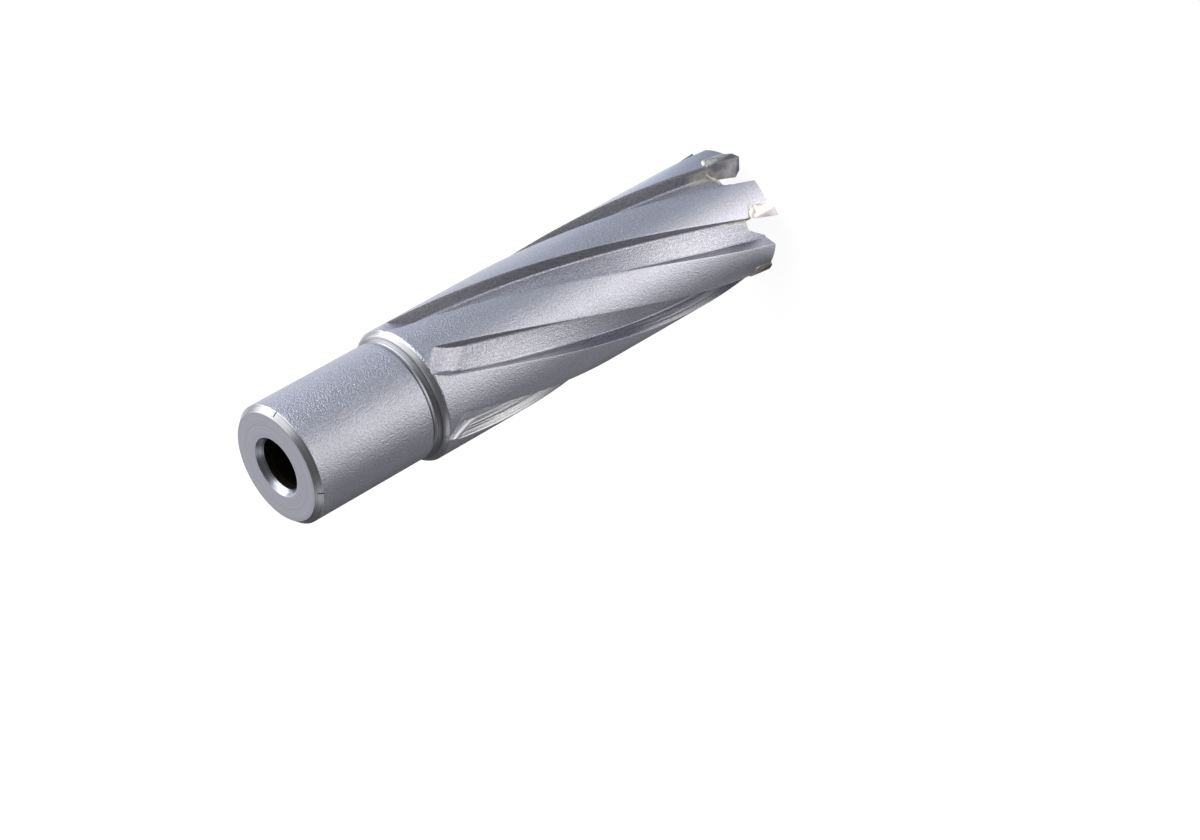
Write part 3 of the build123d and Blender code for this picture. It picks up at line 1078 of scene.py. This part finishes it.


# %% [markdown]
# Fifteen kinds of surface share eleven finishes. A mesh looks up a finish by its slot number, so we
# list each finish once and give every face the number of its own. The cutters bring theirs along:
# the notch and the pocket, which the braze wetted later, are freshly milled, the flats are milled
# smooth and blasted, and the scores across the rear chamfer take the bore's near-black, a painted
# shade.

# %% Finish each surface and cut
PITCH_LENGTH = float(across_outline()[-1]) / TEETH
CUTTING_FACE_STAIN = (PITCH_LENGTH, 1.0, 5.0)
FLOOR_STAIN = (PITCH_LENGTH, 1.2, 3.3)
RUN_OUT_RIDGES_LOWER = 10.0

# The cutting face gets darker steel than the floor: painted shade on a wall inside the flute.
cutting_face = milled_steel(
    "milled_cutting_face_painted_shade", (0.23, 0.228, 0.25), (0.34, 0.338, 0.37), 0.5, 0.01, CUTTING_FACE_STAIN
)
flute_floor = milled_steel(
    "milled_flute_floor", (0.39, 0.395, 0.46), (0.59, 0.592, 0.67), 0.44, 0.008, FLOOR_STAIN
)
faced_steel = turned_steel(
    "faced_steel", (0.27, 0.275, 0.32), (0.31, 0.315, 0.365), 0.5, ring_depth=0.002, grit_depth=0.015
)
turned_chamfer = turned_steel("turned_chamfer", (0.46, 0.465, 0.50), (0.68, 0.685, 0.73), 0.36)
# The bore, the hollow and the scores get near-black steel: painted shade inside the hole and in the
# scores.
bore_and_score_painted_shade = turned_steel("bore_and_score_painted_shade", (0.05, 0.042, 0.036), (0.13, 0.11, 0.095), 0.45)
FINISH_OF = {
    LAND: BLASTED,
    RAKE: cutting_face,
    FLOOR: flute_floor,
    HEEL: heel_steel_painted_shade_and_highlight("heel_wall_painted_shade_and_highlight", 0.0),
    SHOULDER: turned_chamfer,
    # The scribed line and the undercut get dark steel: painted shade in a crease.
    GROOVE: turned_steel("turned_groove_painted_shade", (0.2, 0.2, 0.23), (0.36, 0.36, 0.40), 0.4),
    COVE: turned_steel("turned_cove", (0.31, 0.315, 0.35), (0.48, 0.485, 0.53), 0.4),
    SHANK: BLASTED,
    REAR_CHAMFER: turned_chamfer,
    REAR_FACE: faced_steel,
    SINK: turned_steel("countersunk_steel", (0.38, 0.4, 0.45), (0.55, 0.57, 0.64), 0.35),
    BORE: bore_and_score_painted_shade,
    CORE: bore_and_score_painted_shade,
    RIM: BLASTED,
    RUN_OUT: heel_steel_painted_shade_and_highlight("run_out_painted_shade_and_highlight", RUN_OUT_RIDGES_LOWER),
}
used = list(dict.fromkeys(FINISH_OF.values()))
slot_numbers = np.array([used.index(FINISH_OF[kind]) for kind in range(len(FINISH_OF))])
kinds = np.empty(len(body.data.polygons), np.int32)
body.data.polygons.foreach_get("material_index", kinds)
body.data.polygons.foreach_set("material_index", slot_numbers[kinds])
for finish in used:
    body.data.materials.append(finish)

milled_notch = milled_notch_steel()
cuts = ((notches, milled_notch), (pockets, milled_notch), (flats, BLASTED), (marks, bore_and_score_painted_shade))
for cutter, finish in cuts:
    orient(cutter)
    cutter.data.materials.append(finish)
    cut_away(body, cutter)
print("finishes:", len(used), "faces after the cuts:", len(body.data.polygons))

# %% [markdown]
# ## Shading of the body
# Smooth shading blends the light over every edge, which suits the round parts and ruins the sharp
# ones. Blender can mark the edges that are sharper than an angle, and it then shades across all
# others only.

# %% Shade the body and hand it over
SHARP = 32


def hand_over(piece, slot, *nodes):
    """Scales a piece to metres, shades it, and says what it rides on and stands for."""
    piece.data.transform(Matrix.Scale(MM, 4))
    piece.data.shade_smooth()
    piece.data.set_sharp_from_angle(angle=math.radians(SHARP))
    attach(piece, "root")
    if nodes:
        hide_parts(*nodes)


hand_over(body, "body_steel", "cutter_body")
print("body:", len(body.data.polygons), "faces")

# %% [markdown]
# ## The carbide tips
# A tip is a small block of sintered carbide. It is ground after brazing: a flat cutting face that
# stands a little proud, a roof of two slopes with its lowest point in the middle of the wall, and
# relief behind every edge so that only the edge touches the work. We begin with the block and grind
# it with Booleans, one for each surface, then break its edges with a small bevel, because a ground
# edge is never perfectly sharp and the bevel is what glints.

# %% Grinding one tip
TIP_PEAK_R = CUT_R - 2.81
TIP_BORE_R = CUT_R - 4.16
OUTER_RISE = 0.4
INNER_RISE = 0.45
RELIEF_SLOPE = math.tan(math.radians(7))
BACK_SLOPE = math.tan(math.radians(50))
RELIEF_LAND = 1.4
SIDE_RELIEF = 0.8
INNER_TAPER_Z = 3.4
ROOM_TOP_Z = 20.0
TIP_BEVEL = 0.05
BEVEL_FROM = 25


def room_over_roof(slope, start):
    """Block over one slope of the roof, which rises backward from a line behind the edge."""
    outlines = []
    for y in (-TIP_THICK, 4 * TIP_THICK):
        peak = start * RELIEF_SLOPE + (y - start) * slope
        outer = peak + (OUTSIDE_R - TIP_PEAK_R) * OUTER_RISE / (CUT_R - TIP_PEAK_R)
        inner = peak + (TIP_PEAK_R - INSIDE_R) * INNER_RISE / (TIP_PEAK_R - TIP_BORE_R)
        top = peak + 4 * TIP_LEN
        roof = [(INSIDE_R, y, inner), (TIP_PEAK_R, y, peak), (OUTSIDE_R, y, outer)]
        outlines.append(roof + [(OUTSIDE_R, y, top), (INSIDE_R, y, top)])
    return lofted(outlines)


def round_room(centre_y, profile, first, last, count):
    """Solid wedge round a line parallel to the axis: radius and height, between two angles."""
    turns = [polar(1, degrees) for degrees in np.linspace(first, last, count)]
    return lofted(
        [
            [(0, centre_y, z)] + [(radius * x, centre_y + radius * y, z) for x, y in turns]
            for radius, z in profile
        ]
    )


def grind(piece, block, operation):
    tool = new_piece("grinding_tool", *block)
    orient(tool)
    cut_away(piece, tool, operation)


def ground_tip():
    """One tip, on the tooth whose cutting face crosses +X, in millimetres."""
    side = pocket_outline(TIP_PROUD, 0)
    piece = new_piece("carbide_tip", *outward_block([side, side], (INSIDE_R, OUTSIDE_R)))
    orient(piece)
    grind(piece, room_over_roof(RELIEF_SLOPE, 0.0), "INTERSECT")
    grind(piece, room_over_roof(BACK_SLOPE, RELIEF_LAND), "INTERSECT")
    outside = math.hypot(CUT_R, SIDE_RELIEF)
    skin = ((outside, BELOW_Z), (outside, ROOM_TOP_Z))
    grind(piece, round_room(-SIDE_RELIEF, skin, -30, 40, 240), "INTERSECT")
    taper = (CORE_R - TIP_BORE_R) / (INNER_TAPER_Z - INNER_RISE)
    mouth = TIP_BORE_R - (INNER_RISE - BELOW_Z) * taper
    inside = ((mouth, BELOW_Z), (CORE_R, INNER_TAPER_Z), (CORE_R, ROOM_TOP_Z))
    grind(piece, round_room(0.0, inside, -40, 50, 160), "DIFFERENCE")
    where = {"limit_method": "ANGLE", "angle_limit": math.radians(BEVEL_FROM)}
    modify(piece, "BEVEL", width=TIP_BEVEL, segments=2, **where)
    return piece


first_tip = ground_tip()
lowest = min(v.co.z for v in first_tip.data.vertices)
print("tip:", len(first_tip.data.polygons), "faces, low at", round(lowest, 3), "mm")

# %% [markdown]
# ### Ground carbide
# Carbide is a darker and warmer grey than steel. The grinding wheel leaves straight fine lines along
# the edge, and the braze has crept over the outside at the back and at the upper end. All six tips
# share the finish: the angle from the axis, counted anew on each tooth, tells how far behind its
# cutting edge a point lies.

# %% Carbide
CARBIDE_DARK, CARBIDE_LIGHT = (0.24, 0.23, 0.245), (0.39, 0.38, 0.40)
TINNED = (0.78, 0.76, 0.70)
TINNED_BACK, TINNED_Z = (1.2, 1.95), (4.4, 5.7)
AHEAD_OF_EDGE = math.radians(5)


def behind_edge(parts):
    """Millimetres behind the cutting edge, round the cutter, on any tooth."""
    angle = calculated("ARCTAN2", parts["Y"], parts["X"])
    ahead = calculated("ADD", angle, AHEAD_OF_EDGE)
    on_tooth = calculated("FLOORED_MODULO", ahead, math.radians(PITCH))
    behind = calculated("SUBTRACT", on_tooth, AHEAD_OF_EDGE)
    return calculated("MULTIPLY", behind, CUT_R)


def ground_carbide():
    made, tree = new_material("ground_carbide", CARBIDE_LIGHT, 0.4)
    place = in_millimetres(tree)
    parts = parts_of(place)
    lines = speckle(squeezed(place, (1.0, 1.0, 12.0)), 1.1, 3.0)
    grain = mingled(lines, speckle(place, 1.6), 0.6)
    grey = tone(grain, CARBIDE_DARK, CARBIDE_LIGHT, 0.38, 0.62)
    back = ranged(behind_edge(parts), *TINNED_BACK)
    upper = ranged(parts["Z"], *TINNED_Z)
    patchy = ranged(speckle(place, 0.9, 3.0), 0.28, 0.58, 0.1, 0.9)
    crept = calculated("MULTIPLY", calculated("MAXIMUM", back, upper), patchy)
    return dress(made, blended(crept, grey, TINNED), relief(lines, 0.008))


def paint(piece, material):
    piece.data.materials.clear()
    piece.data.materials.append(material)


def turned_copy(piece, name, degrees):
    """The same piece on another tooth, as a mesh of its own."""
    mesh = piece.data.copy()
    mesh.name = name
    mesh.transform(Matrix.Rotation(math.radians(degrees), 4, "Z"))
    return in_scene(name, mesh)


paint(first_tip, ground_carbide())
for k, angle in enumerate(TOOTH_ANGLES, start=1):
    tip = turned_copy(first_tip, f"ground_tip_{k}", angle)
    hand_over(tip, "carbide", f"carbide_tip_{k}")
bpy.data.objects.remove(first_tip)
print("tips:", TEETH)

# %% [markdown]
# ## The braze
# The film of silver braze between a tip and its pocket is only 0.15 mm thick, and the measured
# model already holds it. What the eye sees is the bead where the braze was squeezed out: a soft,
# uneven ridge that runs up the back of the tip, over its upper end, down the flute's wall and away
# over the lip of the notch. A bead is a line with a round section, so we lay a path of points and
# sweep a ring of points along it. The ring's size wanders a little, as the real bead does.

# %% Braze
BRAZE_CREAM = (0.78, 0.735, 0.61)
BRAZE_DARK, BRAZE_LIGHT = (0.74, 0.69, 0.57), (0.95, 0.92, 0.85)


def silver_braze():
    made, tree = new_material("silver_braze", BRAZE_CREAM, 0.4, 0.4)
    place = in_millimetres(tree)
    blotches = tone(speckle(place, 0.9, 3.0), BRAZE_DARK, BRAZE_LIGHT, 0.32, 0.6)
    return dress(made, blotches, relief(speckle(place, 0.3), 0.05))


BRAZE = silver_braze()
for k in range(TEETH):
    paint(frame["nodes"][f"braze_joint_{k + 1}"], BRAZE)


# %% Bead
BEAD_R = 0.23
BEAD_SIDES = 10
BEAD_POINTS = 110
CLEAN_LIPS = (1, 4)
OVER_TOP = (0.45, 0.1)
DOWN_WALL = (10.2, 9.6, 9.1)
LIP = (
    (8.9, 1.35, 5.65), (8.68, 1.05, 5.5), (8.55, 0.7, 5.2),
    (8.47, 0.1, 4.98), (8.41, -0.5, 4.93), (8.35, -1.1, 4.86),
)
FULL_AT = (0, 0.33, 0.42, 0.48, 0.55, 0.66, 0.72, 1)
FULLNESS = (0.35, 0.35, 1.2, 1.2, 0.35, 0.35, 1.25, 1.2)
KNOTS = 16


def on_skin(back, up):
    """Point on the body's turned skin, behind and above the cutting face's foot."""
    return math.sqrt(land_radius(up) ** 2 - back**2), back, up


def bead_path(tooth):
    """Corner points of the bead, from the roof's back up and over to the lip of the notch."""
    top = TIP_LEN + BRAZE_GAP / 2
    face = rake_x(top)
    side = pocket_outline(0, BRAZE_GAP / 2)
    seam = side[-2:0:-1]
    behind = [on_skin(*place) for place in (*between(side[-1], seam[0], 5)[2:], *seam)]
    over = [on_skin(face + step, top) for step in OVER_TOP]
    wall = [(x, face - 0.1, top) for x in DOWN_WALL]
    lip = LIP[:2] if tooth in CLEAN_LIPS else LIP
    return np.array([*behind[:-1], *over, *wall, *lip])


def smooth_path(corners, count):
    """Even points on a smooth curve near the corner points."""
    curve = bpy.data.curves.new("path", "CURVE")
    curve.dimensions = "3D"
    spline = curve.splines.new("NURBS")
    spline.points.add(len(corners) - 1)
    for point, corner in zip(spline.points, corners):
        point.co = (*corner, 1)
    with_settings(spline, order_u=3, use_endpoint_u=True, resolution_u=12)
    holder = in_scene("path", curve)
    line = bpy.data.meshes.new_from_object(holder)
    dense = np.array([tuple(v.co) for v in line.vertices])
    bpy.data.objects.remove(holder)
    along = np.concatenate([[0], np.cumsum(np.linalg.norm(np.diff(dense, axis=0), axis=1))])
    wanted = np.linspace(0, along[-1], count)
    return np.stack([np.interp(wanted, along, dense[:, i]) for i in range(3)], -1)


def of_length_one(arrows):
    return arrows / np.linalg.norm(arrows, axis=1)[:, None]


def swept(path, radii):
    """Closed tube along a path, with one radius for each point and rounded ends."""
    tangents = of_length_one(np.gradient(path, axis=0))
    sideways = of_length_one(np.cross(tangents, path * (1, 1, 0)))
    outward = np.cross(sideways, tangents)
    turns = np.linspace(0, 2 * math.pi, BEAD_SIDES, endpoint=False)[:, None]
    spokes = zip(path, radii, sideways, outward)
    return lofted([p + r * (np.cos(turns) * s + np.sin(turns) * o) for p, r, s, o in spokes])


def wandering(tooth):
    """Radii of a bead: thin at its ends, uneven between, different on each tooth."""
    along = np.linspace(0, 1, BEAD_POINTS)
    chance = np.random.default_rng(20 + tooth)
    uneven = np.interp(along, np.linspace(0, 1, KNOTS), chance.uniform(0.72, 1.3, KNOTS))
    ends = np.sqrt(np.clip(np.minimum(along, 1 - along) * 16, 0.02, 1))
    return BEAD_R * uneven * ends * np.interp(along, FULL_AT, FULLNESS)


for k, angle in enumerate(TOOTH_ANGLES):
    tube = swept(smooth_path(bead_path(k), BEAD_POINTS), wandering(k))
    bead = new_piece(f"braze_bead_{k + 1}", *tube, (BRAZE,))
    bead.data.transform(Matrix.Rotation(math.radians(angle), 4, "Z"))
    orient(bead)
    hand_over(bead, "braze")
print("beads:", TEETH)

# %% [markdown]
# ## Close
# The last cell only sets the view transform to Standard. The cutter's box should agree closely with
# the box of the measured model from the first cell; it differs by 0.03 mm in one direction, where a
# bead of braze stands out from the steel.

# %% Close the lesson
bpy.context.scene.view_settings.view_transform = "Standard"
